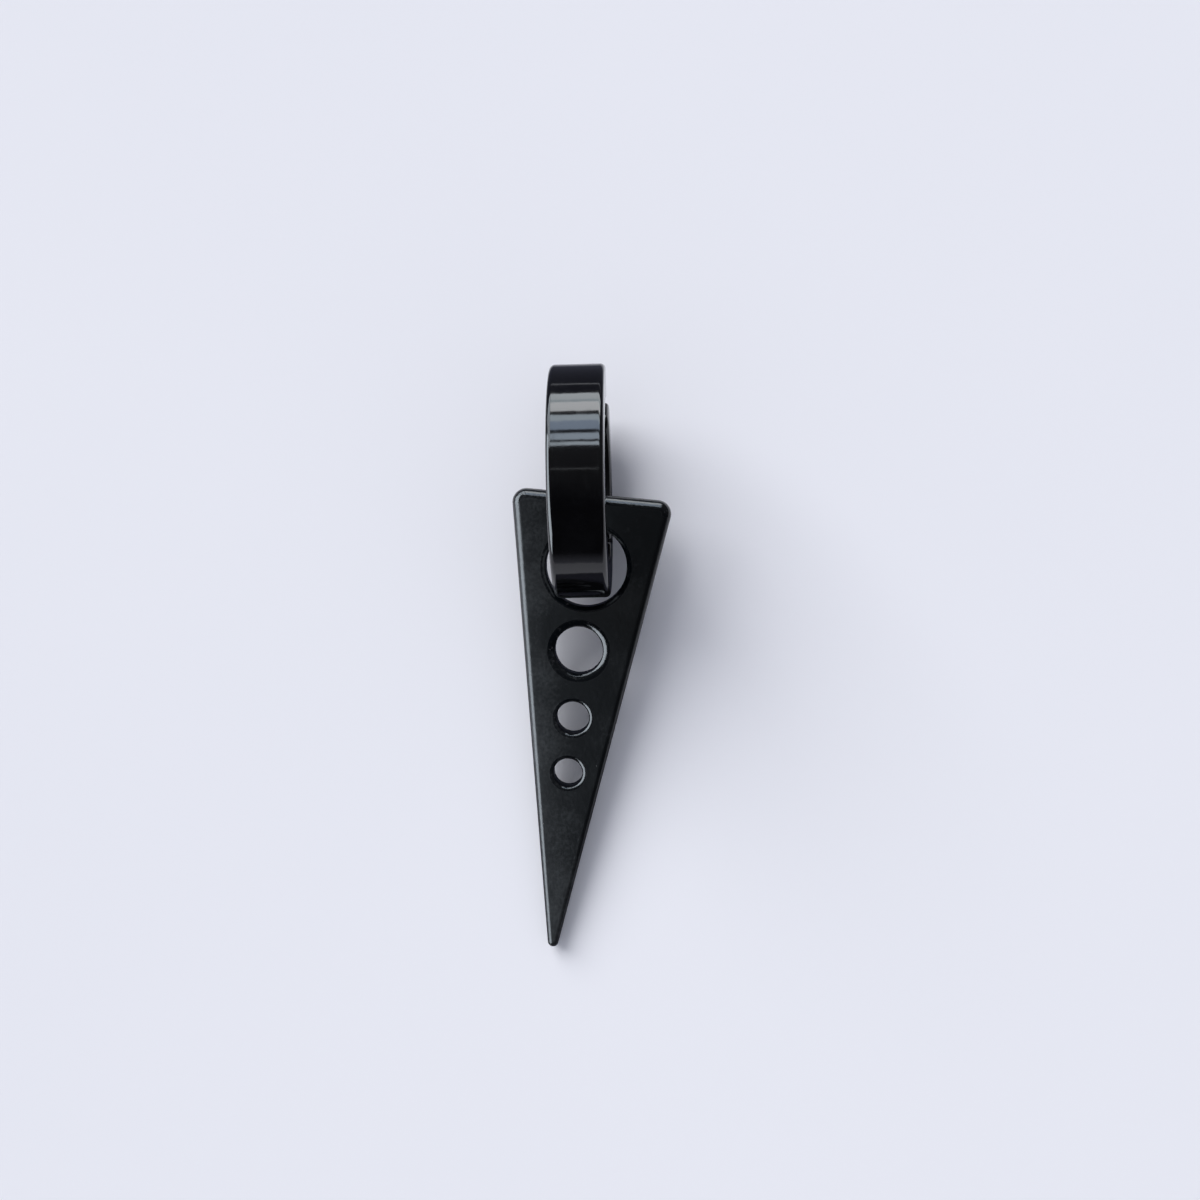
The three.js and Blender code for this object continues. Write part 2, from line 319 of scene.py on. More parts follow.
def blackFinish(name, look):
    material = bpy.data.materials.new(name)
    material.use_nodes = True
    tree = material.node_tree
    tree.nodes.clear()
    output = addNode(tree, "ShaderNodeOutputMaterial", (900, 0))
    shader = addNode(tree, "ShaderNodeBsdfPrincipled", (600, 0))
    tree.links.new(shader.outputs["BSDF"], output.inputs["Surface"])
    shader.inputs["IOR"].default_value = look["ior"]

    place = addNode(tree, "ShaderNodeTexCoord", (-1300, 0))
    millimetres = addNode(tree, "ShaderNodeMapping", (-1100, 0))
    millimetres.inputs["Scale"].default_value = (1 / mm, 1 / mm, 1 / mm)
    tree.links.new(place.outputs["Object"], millimetres.inputs["Vector"])
    vector = millimetres.outputs["Vector"]

    def effect(group, y, **settings):
        node = addNode(tree, "ShaderNodeGroup", (-750, y), node_tree=group)
        tree.links.new(vector, node.inputs["Vector"])
        for socketName, value in settings.items():
            node.inputs[socketName.replace("_", " ")].default_value = value
        return node

    peel = effect(orangePeel, 500, **look["peel"])
    haze = effect(smudge, 200, **look["smudge"])
    specks = effect(dust, -100, **look["dust"])
    wear = effect(rimWear, -400, **look["wear"])
    rim = addNode(tree, "ShaderNodeAttribute", (-1000, -500), attribute_name="rim")
    tree.links.new(rim.outputs["Fac"], wear.inputs["Rim"])

    # colour: the coat with its painted sheen and shade, lifted a little by haze and wear, with pale specks
    # on top
    cloud = noise(tree, (-950, 900), vector, look["toneScale"], 3)
    mottle = noise(tree, (-950, 700), vector, look["mottleScale"], 2, 0.6)
    tone = addNode(tree, "ShaderNodeMix", (-750, 800))
    tone.inputs["Factor"].default_value = look["mottleShare"]
    tree.links.new(cloud, tone.inputs["A"])
    tree.links.new(mottle, tone.inputs["B"])
    spot = addNode(tree, "ShaderNodeSeparateXYZ", (-950, 1100))
    tree.links.new(vector, spot.inputs["Vector"])
    # painted sheen and shade: the coat's colour is lighter towards one side, as a painted sheen, and
    # darker towards the other, as painted shade
    slope = maths(tree, "MULTIPLY", (-850, 1200), spot.outputs["Y"], look["paintedSideSlope"])
    sheenAcross = maths(tree, "ADD", (-800, 1100), slope, spot.outputs["X"])
    sideways = spread(tree, (-750, 1100), sheenAcross, look["paintedSheenSide"], look["paintedShadeSide"],
                      look["paintedSideShare"], -look["paintedSideShare"])
    uneven = spread(tree, (-600, 850), tone.outputs["Result"], coatTone["low"], coatTone["high"],
                    0.0, coatTone["most"])
    toneWithPaintedSheen = maths(tree, "ADD", (-450, 900), uneven, sideways, clamp=True)
    coat = addNode(tree, "ShaderNodeMix", (-450, 700), data_type="RGBA")
    coat.inputs["A"].default_value = look["dark"]
    coat.inputs["B"].default_value = look["light"]
    tree.links.new(toneWithPaintedSheen, coat.inputs["Factor"])
    layers = [(wear.outputs["Worn"], look["wornColour"], look["wornShare"]),
              (haze.outputs["Haze"], look["hazeColour"], look["hazeShare"]),
              (specks.outputs["Speck"], look["speckColour"], look["speckShare"])]
    colour = coat.outputs["Result"]
    for index, (mask, tint, share) in enumerate(layers):
        layer = addNode(tree, "ShaderNodeMix", (-200 + 200 * index, 600), data_type="RGBA")
        amount = maths(tree, "MULTIPLY", (-350 + 200 * index, 400), mask, share)
        tree.links.new(amount, layer.inputs["Factor"])
        tree.links.new(colour, layer.inputs["A"])
        layer.inputs["B"].default_value = tint
        colour = layer.outputs["Result"]
    tree.links.new(colour, shader.inputs["Base Color"])

    # roughness: polish, haze and wear
    hazy = spread(tree, (-300, 100), haze.outputs["Haze"], 0.0, 1.0,
                  look["roughness"], look["hazyRoughness"])
    rubbed = maths(tree, "MULTIPLY", (-300, -200), wear.outputs["Worn"], look["wornRoughness"])
    dusty = maths(tree, "MULTIPLY", (-300, -400), specks.outputs["Speck"], speckRoughness)
    total = maths(tree, "ADD", (0, 0), hazy, rubbed)
    total = maths(tree, "ADD", (150, -100), total, dusty, clamp=True)
    total = spread(tree, (300, -100), rim.outputs["Fac"], 0.0, 1.0, total, look["rimRoughness"])
    tree.links.new(total, shader.inputs["Roughness"])

    # relief: the peel of the coat and the specks standing on it
    relief = maths(tree, "MULTIPLY", (0, -500), specks.outputs["Speck"], speckHeight)
    relief = maths(tree, "ADD", (150, -500), relief, peel.outputs["Height"])
    bump = addNode(tree, "ShaderNodeBump", (350, -400))
    bump.inputs["Strength"].default_value = look["bumpStrength"]
    bump.inputs["Distance"].default_value = look["bumpDistance"]
    tree.links.new(relief, bump.inputs["Height"])
    tree.links.new(bump.outputs["Normal"], shader.inputs["Normal"])
    return material


# colours, then the scales of their noise in 1/mm, then the painted side sheen and shade, then roughness,
# wear and relief
polishedLook = {
    "ior": 1.5,
    "dark": (0.0006, 0.0006, 0.0009, 1), "light": (0.0018, 0.0018, 0.0024, 1), "toneScale": 0.35,
    "mottleScale": 6.0, "mottleShare": 0.3,
    "paintedSheenSide": -1.0, "paintedShadeSide": 1.0, "paintedSideShare": 0.0, "paintedSideSlope": 0.0,
    "roughness": 0.075, "hazyRoughness": 0.16, "wornRoughness": 0.12, "rimRoughness": 0.09,
    "wornColour": (0.10, 0.10, 0.11, 1), "wornShare": 0.35,
    "hazeColour": (0.012, 0.013, 0.015, 1), "hazeShare": 0.25,
    "speckColour": (0.55, 0.55, 0.56, 1), "speckShare": 0.8,
    "peel": {"Ripple_Scale": 0.9, "Grain_Scale": 9.0, "Grain_Share": 0.04},
    "smudge": {"Scale": 0.45, "Streak": 7.0},
    "dust": {"Scale": 1.3, "Rarity": 0.9, "Size": 0.09},
    "wear": {"Scale": 4.0, "Bite": 0.62},
    "bumpStrength": 0.25, "bumpDistance": 0.02 * mm,
}

satinLook = {
    "ior": 1.5,
    "dark": (0.0006, 0.0015, 0.0024, 1), "light": (0.0290, 0.0320, 0.0350, 1), "toneScale": 0.25,
    "mottleScale": 4.5, "mottleShare": 0.5,
    # painted sheen and shade: these side keys make the satin coat lighter towards one side and darker
    # towards the other
    "paintedSheenSide": -4.6, "paintedShadeSide": -1.4, "paintedSideShare": 0.36, "paintedSideSlope": 0.07,
    "roughness": 0.29, "hazyRoughness": 0.36, "wornRoughness": 0.15, "rimRoughness": 0.11,
    "wornColour": (0.14, 0.14, 0.15, 1), "wornShare": 0.4,
    "hazeColour": (0.035, 0.038, 0.042, 1), "hazeShare": 0.12,
    "speckColour": (0.6, 0.6, 0.6, 1), "speckShare": 0.85,
    "peel": {"Ripple_Scale": 3.0, "Grain_Scale": 14.0, "Grain_Share": 0.35},
    "smudge": {"Scale": 0.3, "Streak": 5.0},
    "dust": {"Scale": 1.1, "Rarity": 0.88, "Size": 0.09},
    "wear": {"Scale": 3.5, "Bite": 0.6},
    "bumpStrength": 0.5, "bumpDistance": 0.02 * mm,
}

wornLook = dict(
    satinLook,
    dark=(0.010, 0.010, 0.011, 1), light=(0.022, 0.022, 0.024, 1),
    paintedSideShare=0.0, roughness=0.14, hazyRoughness=0.3, rimRoughness=0.16, wornShare=0.8,
    wear={"Scale": 2.5, "Bite": 0.5},
    peel={"Ripple_Scale": 4.0, "Grain_Scale": 16.0, "Grain_Share": 0.3},
)

polishedBlack = blackFinish("polishedBlack", polishedLook)
satinBlack = blackFinish("satinBlack", satinLook)
wornBlack = blackFinish("wornBlack", wornLook)
print("finishes made")


# ---- the hoop band: angles round the hoop are in degrees from its lowest point towards +Y

band = {
    "thickness": 2.3 * mm, "edgeRound": 0.32 * mm, "edgeSteps": 6, "stepDegrees": 2.0,
    "frontEnd": 92.0, "hinge": -50.6, "armEnd": 49.5, "noseBeyond": 2.0,
    "flatArea": 0.25 * mm * mm,
    "brokenEdge": 0.05 * mm, "brokenSteps": 3, "sharpDegrees": 35,
}
middleRadius = hoopRadius - band["thickness"] / 2
bandBottom = hoopCentre - Vector((0, 0, middleRadius))

# how each end of an arc is closed: how far it reaches, and what it loses in thickness and width
plainEnd = {"reach": 0.3 * mm, "thin": 0.3 * mm, "narrow": 0.3 * mm, "steps": 6}
noseEnd = {"reach": 0.8 * mm, "thin": 0.55 * mm, "narrow": 0.2 * mm, "steps": 12}
knuckleEnd = {"reach": band["thickness"] / 2, "thin": band["thickness"] / 2, "narrow": 0.0, "steps": 16}

hinge = {
    "pinRadius": 0.45 * mm, "boreRadius": 0.48 * mm, "tongueWidth": 1.2 * mm, "gap": 0.12 * mm,
    "pinInset": 0.05 * mm, "pinRound": 0.12 * mm, "pinSteps": 4, "sides": 96,
    "flatArea": 0.5 * mm * mm,
}

post = {
    "radius": 0.45 * mm, "pathRadius": 6.0 * mm, "socketDepth": 1.2 * mm, "socketGap": 0.005 * mm,
    "pressDepth": 1.1 * mm, "tipDepth": 0.7 * mm, "tipRound": 0.2 * mm, "tipSteps": 6, "sides": 64,
    "notchFromTip": 1.0 * mm, "notchDepth": 0.06 * mm, "notchLength": 0.3 * mm,
    "slotDepth": 1.1 * mm, "slotWidth": 1.3 * mm, "slotWall": 0.55 * mm, "slotCorner": 0.35 * mm,
    "slotSteps": 8, "flatArea": 0.5 * mm * mm,
}


def turnRound(bm, degrees):
    turn = Matrix.Rotation(math.radians(degrees), 3, "X")
    bmesh.ops.rotate(bm, verts=bm.verts, cent=hoopCentre, matrix=turn)


def bandSection(bm):
    # the band's rounded section, at the bottom of the hoop and square to Y
    grid = bmesh.ops.create_grid(bm, x_segments=1, y_segments=1, size=0.5)
    bmesh.ops.scale(bm, vec=(hoopWidth, band["thickness"], 1), verts=grid["verts"])
    roundOff(bm, bm.verts[:], band["edgeRound"], band["edgeSteps"], affect="VERTICES")
    bmesh.ops.delete(bm, geom=bm.faces[:], context="FACES_ONLY")
    bmesh.ops.rotate(bm, verts=bm.verts, cent=(0, 0, 0), matrix=Matrix.Rotation(quarterTurn, 3, "X"))
    bmesh.ops.translate(bm, verts=bm.verts, vec=bandBottom)
    return bm.verts[:]


def closeEnd(bm, ring, outward, end):
    # rings step out along Y and shrink, as on a turned end
    halfThick = band["thickness"] / 2
    halfWide = hoopWidth / 2
    centre = Matrix.Translation(-bandBottom)
    reached, thick, wide = 0.0, 1.0, 1.0
    for step in range(1, end["steps"] + 1):
        angle = quarterTurn * step / end["steps"]
        newThick = 1 - end["thin"] * (1 - math.cos(angle)) / halfThick
        newWide = 1 - end["narrow"] * (1 - math.cos(angle)) / halfWide
        newReach = end["reach"] * math.sin(angle)
        grown = bmesh.ops.extrude_edge_only(bm, edges=loopEdges(ring))
        ring = vertsIn(grown["geom"])
        bmesh.ops.scale(bm, vec=(newWide / wide, 1, newThick / thick), space=centre, verts=ring)
        bmesh.ops.translate(bm, vec=(0, outward * (newReach - reached), 0), verts=ring)
        reached, thick, wide = newReach, newThick, newWide
    # an end that shrinks to nothing needs no cap
    if end["thin"] < halfThick:
        bmesh.ops.contextual_create(bm, geom=loopEdges(ring))


def bandArc(name, fromAngle, toAngle, firstEnd, lastEnd):
    bm = bmesh.new()
    start = bandSection(bm)
    startEdges = loopEdges(start)
    closeEnd(bm, start, -1, firstEnd)
    turnRound(bm, fromAngle)
    sweep = toAngle - fromAngle
    spun = bmesh.ops.spin(bm, geom=start + startEdges, cent=hoopCentre, axis=xAxis, dvec=(0, 0, 0),
                          angle=math.radians(sweep), steps=round(sweep / band["stepDegrees"]),
                          use_merge=False, use_duplicate=False)
    last = vertsIn(spun["geom_last"])
    turnRound(bm, -toAngle)
    closeEnd(bm, last, 1, lastEnd)
    turnRound(bm, toAngle)
    bmesh.ops.remove_doubles(bm, verts=bm.verts, dist=tinyGap)
    bmesh.ops.dissolve_degenerate(bm, edges=bm.edges, dist=tinyGap)
    bmesh.ops.recalc_face_normals(bm, faces=bm.faces)
    return linkedObject(name, bm)


def reachDegrees(end):
    # the angle that an end's reach takes up at the band's middle
    return math.degrees(end["reach"] / middleRadius)


def onHoop(radius, degrees):
    angle = math.radians(degrees)
    return hoopCentre + Vector((0, radius * math.sin(angle), -radius * math.cos(angle)))


# ---- ear post: it runs straight from the front's end into the arm's end

postFront = onHoop(post["pathRadius"], band["frontEnd"])
postArm = onHoop(post["pathRadius"], band["armEnd"])
postWay = (postFront - postArm).normalized()
postTip = postArm - postWay * post["tipDepth"]
postLength = post["tipDepth"] + (postFront - postArm).length + post["pressDepth"]
postTurn = Vector((0, 0, 1)).rotation_difference(postWay)
postPlace = Matrix.Translation(postTip) @ postTurn.to_matrix().to_4x4()


def makePost():
    # a round wire with a rounded tip and a shallow catch notch near it
    notchStart = post["notchFromTip"]
    notchEnd = notchStart + post["notchLength"]
    thin = post["radius"] - post["notchDepth"]
    stations = [(notchStart, post["radius"]), (notchStart + post["notchDepth"], thin),
                (notchEnd - post["notchDepth"], thin), (notchEnd, post["radius"]),
                (postLength, post["radius"])]
    bm = bmesh.new()
    made = bmesh.ops.create_circle(bm, cap_ends=False, segments=post["sides"], radius=1.0)
    ring = made["verts"]
    first = post["radius"] - post["tipRound"]
    bmesh.ops.scale(bm, vec=(first, first, 1), verts=ring)
    bmesh.ops.contextual_create(bm, geom=loopEdges(ring))
    height, size = 0.0, first
    for step in range(1, post["tipSteps"] + 1):
        angle = quarterTurn * step / post["tipSteps"]
        stations.insert(step - 1, (post["tipRound"] * (1 - math.cos(angle)),
                                   first + post["tipRound"] * math.sin(angle)))
    for nextHeight, nextSize in stations:
        grown = bmesh.ops.extrude_edge_only(bm, edges=loopEdges(ring))
        ring = vertsIn(grown["geom"])
        bmesh.ops.scale(bm, vec=(nextSize / size, nextSize / size, 1), verts=ring)
        bmesh.ops.translate(bm, vec=(0, 0, nextHeight - height), verts=ring)
        height, size = nextHeight, nextSize
    bmesh.ops.contextual_create(bm, geom=loopEdges(ring))
    bmesh.ops.recalc_face_normals(bm, faces=bm.faces)
    bmesh.ops.transform(bm, matrix=postPlace, verts=bm.verts)
    return linkedObject("earPostWire", bm)


def postSocket():
    radius = post["radius"] + post["socketGap"]
    bm = bmesh.new()
    bmesh.ops.create_cone(bm, cap_ends=True, cap_tris=False, segments=post["sides"],
                          radius1=radius, radius2=radius, depth=post["socketDepth"] + beyond)
    toSocket = postLength - post["pressDepth"] + (post["socketDepth"] - beyond) / 2
    bmesh.ops.translate(bm, vec=(0, 0, toSocket), verts=bm.verts)
    bmesh.ops.transform(bm, matrix=postPlace, verts=bm.verts)
    return linkedObject("postSocket", bm)


def postSlot():
    # open to the arm's end and to the inside of the hoop, with rounded inner corners
    depth = post["slotDepth"] + beyond
    height = band["thickness"] - post["slotWall"] + beyond
    bm = bmesh.new()
    bmesh.ops.create_cube(bm, size=1.0)
    bmesh.ops.scale(bm, vec=(post["slotWidth"], depth, height), verts=bm.verts)
    upright = [edge for edge in bm.edges if edge.verts[0].co.y < 0
               and abs(edge.verts[0].co.z - edge.verts[1].co.z) > height / 2]
    roundOff(bm, upright, post["slotCorner"], post["slotSteps"])
    lift = post["slotWall"] + height / 2 - band["thickness"] / 2
    bmesh.ops.translate(bm, vec=bandBottom + Vector((0, beyond - depth / 2, lift)), verts=bm.verts)
    turnRound(bm, band["armEnd"])
    return linkedObject("postSlot", bm)


postWire = makePost()
finishPiece(postWire, "hoop", "ear_post", wornBlack, post["flatArea"])


# ---- hinge: two ears on the front, one tongue on the arm, and the pin through them

side = hoopWidth / 2 + beyond
tongueSide = hinge["tongueWidth"] / 2
knuckleRoom = band["thickness"] / 2 + hinge["gap"]


def hingeCut(name, radius, fromX, toX):
    return rodAlongX(name, pinCentre, radius, fromX, toX, hinge["sides"])


def makeFrontHoop():
    fromAngle = band["frontEnd"] + reachDegrees(plainEnd)
    front = bandArc("frontHoopBand", fromAngle, 360 + band["hinge"], plainEnd, knuckleEnd)
    cutAway(front, [
        hingeCut("tongueSlot", knuckleRoom, -tongueSide - hinge["gap"], tongueSide + hinge["gap"]),
        hingeCut("frontBore", hinge["boreRadius"], -side, side),
        postSocket(),
    ])
    softenEdges(front, band["brokenEdge"], band["brokenSteps"], band["sharpDegrees"])
    return front


def makeRearArm():
    toAngle = band["armEnd"] + band["noseBeyond"] - reachDegrees(noseEnd)
    arm = bandArc("rearArmBand", band["hinge"], toAngle, knuckleEnd, noseEnd)
    cutAway(arm, [
        hingeCut("leftEarRoom", knuckleRoom, -side, -tongueSide),
        hingeCut("rightEarRoom", knuckleRoom, tongueSide, side),
        hingeCut("armBore", hinge["boreRadius"], -side, side),
        postSlot(),
    ])
    softenEdges(arm, band["brokenEdge"], band["brokenSteps"], band["sharpDegrees"])
    return arm


def makePin():
    halfLength = hoopWidth / 2 - hinge["pinInset"]
    pin = hingeCut("hingePinRod", hinge["pinRadius"], -halfLength, halfLength)
    bm = bmesh.new()
    bm.from_mesh(pin.data)
    # the rod's two round ends are its only faces with more than four corners
    ends = [face for face in bm.faces if len(face.verts) > 4]
    rims = list({edge for face in ends for edge in face.edges})
    roundOff(bm, rims, hinge["pinRound"], hinge["pinSteps"])
    bm.to_mesh(pin.data)
    bm.free()
    return pin


frontBand = makeFrontHoop()
finishPiece(frontBand, "hoop", "front_hoop", polishedBlack, band["flatArea"])
armBand = makeRearArm()
finishPiece(armBand, "arm", "rear_arm", polishedBlack, band["flatArea"])
pinRod = makePin()
finishPiece(pinRod, "hoop", "hinge_pin", wornBlack, hinge["flatArea"])


# ---- drop plate: a long triangle whose edges are rounded more at the top than at the tip

# tilt and turn are in degrees; sideways and below place the big hole from the hoop's centre
drop = {
    "width": 10.7 * mm, "length": 32.21 * mm, "thickness": 1.5 * mm,
    "cornerRadius": 0.9 * mm, "cornerRound": 0.58 * mm, "tipRadius": 0.36 * mm, "tipRound": 0.32 * mm,
    "cornerSides": 96, "roundSteps": 7,
    "sideways": 0.1 * mm, "below": 5.3 * mm, "tilt": 7.05, "turn": -6.6,
    "flatDegrees": 0.6, "flatArea": 1.2 * mm * mm,
}

# distance from the top edge, radius, width and depth of the rounded rim
dropHoles = [
    {"distance": 4.7 * mm, "radius": 2.65 * mm, "rimWidth": 0.34 * mm, "rimDepth": 0.22 * mm},
    {"distance": 10.25 * mm, "radius": 1.58 * mm, "rimWidth": 0.5 * mm, "rimDepth": 0.2 * mm},
    {"distance": 14.75 * mm, "radius": 1.08 * mm, "rimWidth": 0.25 * mm, "rimDepth": 0.16 * mm},
    {"distance": 18.45 * mm, "radius": 0.96 * mm, "rimWidth": 0.25 * mm, "rimDepth": 0.15 * mm},
]

# the rim's section: 0 is a straight chamfer and 1 a quarter round
rimBulge = 0.85
rimSteps = 8
holeSides = 128


def roundedDisc(bm, centre, radius, rounding):
    # one corner of the plate: a short cylinder with both rims rounded
    disc = bmesh.new()
    bmesh.ops.create_cone(disc, cap_ends=True, cap_tris=False, segments=drop["cornerSides"],
                          radius1=radius, radius2=radius, depth=drop["thickness"])
    rims = [edge for edge in disc.edges if abs(edge.verts[0].co.z - edge.verts[1].co.z) < tinyGap]
    roundOff(disc, rims, rounding, drop["roundSteps"])
    bmesh.ops.translate(disc, vec=centre, verts=disc.verts)
    holder = bpy.data.meshes.new("corner")
    disc.to_mesh(holder)
    disc.free()
    bm.from_mesh(holder)
    bpy.data.meshes.remove(holder)


def plateBlank():
    # the corners' common skin, with the top edge on y = 0 and the tip towards -Y
    halfPoint = math.atan2(drop["width"] / 2, drop["length"])
    halfTop = (quarterTurn - halfPoint) / 2
    cornerX = drop["width"] / 2 - drop["cornerRadius"] / math.tan(halfTop)
    tipY = -drop["length"] + drop["tipRadius"] / math.sin(halfPoint)
    bm = bmesh.new()
    roundedDisc(bm, (cornerX, -drop["cornerRadius"], 0), drop["cornerRadius"], drop["cornerRound"])
    roundedDisc(bm, (-cornerX, -drop["cornerRadius"], 0), drop["cornerRadius"], drop["cornerRound"])
    roundedDisc(bm, (0, tipY, 0), drop["tipRadius"], drop["tipRound"])
    bmesh.ops.delete(bm, geom=bm.edges[:] + bm.faces[:], context="EDGES_FACES")
    hull = bmesh.ops.convex_hull(bm, input=bm.verts[:], use_existing_faces=False)
    inner = vertsIn(hull["geom_interior"]) + vertsIn(hull["geom_unused"])
    bmesh.ops.delete(bm, geom=list(set(inner)), context="VERTS")
    bmesh.ops.dissolve_limit(bm, angle_limit=math.radians(drop["flatDegrees"]), verts=bm.verts,
                             edges=bm.edges, use_dissolve_boundaries=False)
    bmesh.ops.recalc_face_normals(bm, faces=bm.faces)
    return linkedObject("triangleDropPlate", bm)


def holeCutter(hole):
    # a round bore that flares to a rounded rim on both faces
    half = drop["thickness"] / 2
    bm = bmesh.new()
    ring = bmesh.ops.create_circle(bm, cap_ends=False, segments=holeSides, radius=hole["radius"])["verts"]
    height, size = 0.0, hole["radius"]
    stations = [(half - hole["rimDepth"], hole["radius"])]
    for step in range(1, rimSteps + 1):
        straight = step / rimSteps
        angle = quarterTurn * straight
        up = straight + rimBulge * (math.sin(angle) - straight)
        out = straight + rimBulge * (1 - math.cos(angle) - straight)
        stations.append((half - hole["rimDepth"] * (1 - up), hole["radius"] + hole["rimWidth"] * out))
    stations.append((half + beyond, stations[-1][1]))
    for nextHeight, nextSize in stations:
        grown = bmesh.ops.extrude_edge_only(bm, edges=loopEdges(ring))
        ring = vertsIn(grown["geom"])
        bmesh.ops.scale(bm, vec=(nextSize / size, nextSize / size, 1), verts=ring)
        bmesh.ops.translate(bm, vec=(0, 0, nextHeight - height), verts=ring)
        height, size = nextHeight, nextSize
    bmesh.ops.contextual_create(bm, geom=loopEdges(ring))
    bmesh.ops.mirror(bm, geom=bm.verts[:] + bm.edges[:] + bm.faces[:], axis="Z", merge_dist=tinyGap)
    bmesh.ops.remove_doubles(bm, verts=bm.verts, dist=tinyGap)
    bmesh.ops.recalc_face_normals(bm, faces=bm.faces)
    bmesh.ops.translate(bm, vec=(0, -hole["distance"], 0), verts=bm.verts)
    return linkedObject("hole", bm)


def makeDrop():
    plate = plateBlank()
    cutAway(plate, [holeCutter(hole) for hole in dropHoles])
    bm = bmesh.new()
    bm.from_mesh(plate.data)
    bmesh.ops.remove_doubles(bm, verts=bm.verts, dist=tinyGap)
    bmesh.ops.translate(bm, vec=(0, dropHoles[0]["distance"], 0), verts=bm.verts)
    lean = Matrix.Rotation(math.radians(drop["tilt"]), 4, "X")
    turn = Matrix.Rotation(math.radians(drop["turn"]), 4, "Z")
    bigHole = Vector((hoopCentre.x + drop["sideways"], hoopCentre.y - drop["below"], 0))
    bmesh.ops.transform(bm, matrix=Matrix.Translation(bigHole) @ turn @ lean, verts=bm.verts)
    lowest = min(vert.co.z for vert in bm.verts)
    bmesh.ops.translate(bm, vec=(0, 0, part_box("triangle_drop")[0].z - lowest), verts=bm.verts)
    bm.to_mesh(plate.data)
    bm.free()
    return plate


dropPlate = makeDrop()
finishPiece(dropPlate, "drop", "triangle_drop", satinBlack, drop["flatArea"])


# ---- floor

floorLook = {
    "halfSize": 2000 * mm, "colour": (0.83, 0.845, 0.90, 1), "shade": (0.80, 0.815, 0.875, 1),
    "roughness": 0.85, "toneScale": 18.0,
}

# painted shade: in reflections the table's colour is darkened beyond the hoop and in an oval around the
# drop
paintedFloorShade = {
    "colour": (0.100, 0.105, 0.140, 1), "fromHoop": 9 * mm, "fullAt": 13 * mm,
    "ovalX": -1 * mm, "ovalY": -13 * mm, "ovalWide": 7.5 * mm, "ovalLong": 27 * mm,
    "ovalInner": 0.88, "ovalOuter": 1.12,
}


# painted shade: 1 where the table's colour is darkened for glossy rays, 0 elsewhere
def paintedShadePlaces(tree, vector):
    split = addNode(tree, "ShaderNodeSeparateXYZ", (-700, -250))
    tree.links.new(vector, split.inputs["Vector"])
    beyondHoop = spread(tree, (-500, -250), split.outputs["Y"], hoopCentre.y + paintedFloorShade["fromHoop"],
                        hoopCentre.y + paintedFloorShade["fullAt"], 0.0, 1.0)
    aside = maths(tree, "SUBTRACT", (-900, -600), split.outputs["X"], paintedFloorShade["ovalX"])
    aside = maths(tree, "DIVIDE", (-750, -600), aside, paintedFloorShade["ovalWide"])
    along = maths(tree, "SUBTRACT", (-900, -750), split.outputs["Y"], paintedFloorShade["ovalY"])
    along = maths(tree, "DIVIDE", (-750, -750), along, paintedFloorShade["ovalLong"])
    oval = maths(tree, "ADD", (-450, -650), maths(tree, "MULTIPLY", (-600, -600), aside, aside),
                 maths(tree, "MULTIPLY", (-600, -750), along, along))
    nearDrop = spread(tree, (-350, -550), oval, paintedFloorShade["ovalInner"], paintedFloorShade["ovalOuter"], 1.0, 0.0)
    places = maths(tree, "MAXIMUM", (-300, -400), beyondHoop, nearDrop)
    path = addNode(tree, "ShaderNodeLightPath", (-700, -450))
    return maths(tree, "MULTIPLY", (-300, -300), places, path.outputs["Is Glossy Ray"])


def makeFloor():
    bm = bmesh.new()
    bmesh.ops.create_grid(bm, x_segments=1, y_segments=1, size=floorLook["halfSize"])
    floor = linkedObject("floor", bm)
    material = bpy.data.materials.new("palePaper")
    material.use_nodes = True
    tree = material.node_tree
    shader = tree.nodes["Principled BSDF"]
    shader.inputs["Roughness"].default_value = floorLook["roughness"]
    shader.inputs["Specular IOR Level"].default_value = 0.0
    place = addNode(tree, "ShaderNodeTexCoord", (-900, 0))
    tone = noise(tree, (-700, 0), place.outputs["Object"], floorLook["toneScale"], 2)
    paper = addNode(tree, "ShaderNodeMix", (-300, 0), data_type="RGBA")
    paper.inputs["A"].default_value = floorLook["shade"]
    paper.inputs["B"].default_value = floorLook["colour"]
    tree.links.new(tone, paper.inputs["Factor"])
    # painted shade: glossy rays see the table in a darker colour in these places
    seen = addNode(tree, "ShaderNodeMix", (-100, 0), data_type="RGBA")
    tree.links.new(paintedShadePlaces(tree, place.outputs["Object"]), seen.inputs["Factor"])
    tree.links.new(paper.outputs["Result"], seen.inputs["A"])
    seen.inputs["B"].default_value = paintedFloorShade["colour"]
    tree.links.new(seen.outputs["Result"], shader.inputs["Base Color"])
    floor.data.materials.append(material)


makeFloor()


# ---- light: a soft key from the upper left, a dim room, and a tall window beyond the hoop

keyLight = {
    "from": Vector((-0.66, 0.85, 0.9)), "strength": 2.66, "spread": 46, "colour": (1.0, 0.99, 0.98),
}

# overhead and horizon light the table, mirrored shows in the black finish, seen meets the eye
room = {
    "overhead": (0.60, 0.613, 0.675, 1), "horizon": (0.05, 0.051, 0.056, 1), "seen": (0.82, 0.84, 0.90, 1),
    "mirroredFar": (0.15, 0.155, 0.17, 1), "farFrom": -0.35, "farFull": 0.5,
    "mirroredNear": (0.03, 0.03, 0.035, 1),
    "lowGlow": (0.36, 0.37, 0.45, 1), "glowHeight": 0.22, "glowFull": -0.95, "glowTo": -0.6,
}

# a broad pale wall to the left, seen only in reflections
leftWall = {
    "from": Vector((-46, 0, 33)) * mm, "width": 104 * mm, "height": 44 * mm,
    "glow": 8.0, "colour": (0.82, 0.91, 1.0),
}

# a thin lamp high above, which draws one line across the band
lampLine = {
    "from": Vector((0, 40, 200)) * mm, "length": 70 * mm, "width": 2.6 * mm,
    "glow": 1.2, "colour": (0.9, 0.95, 1.0),
}

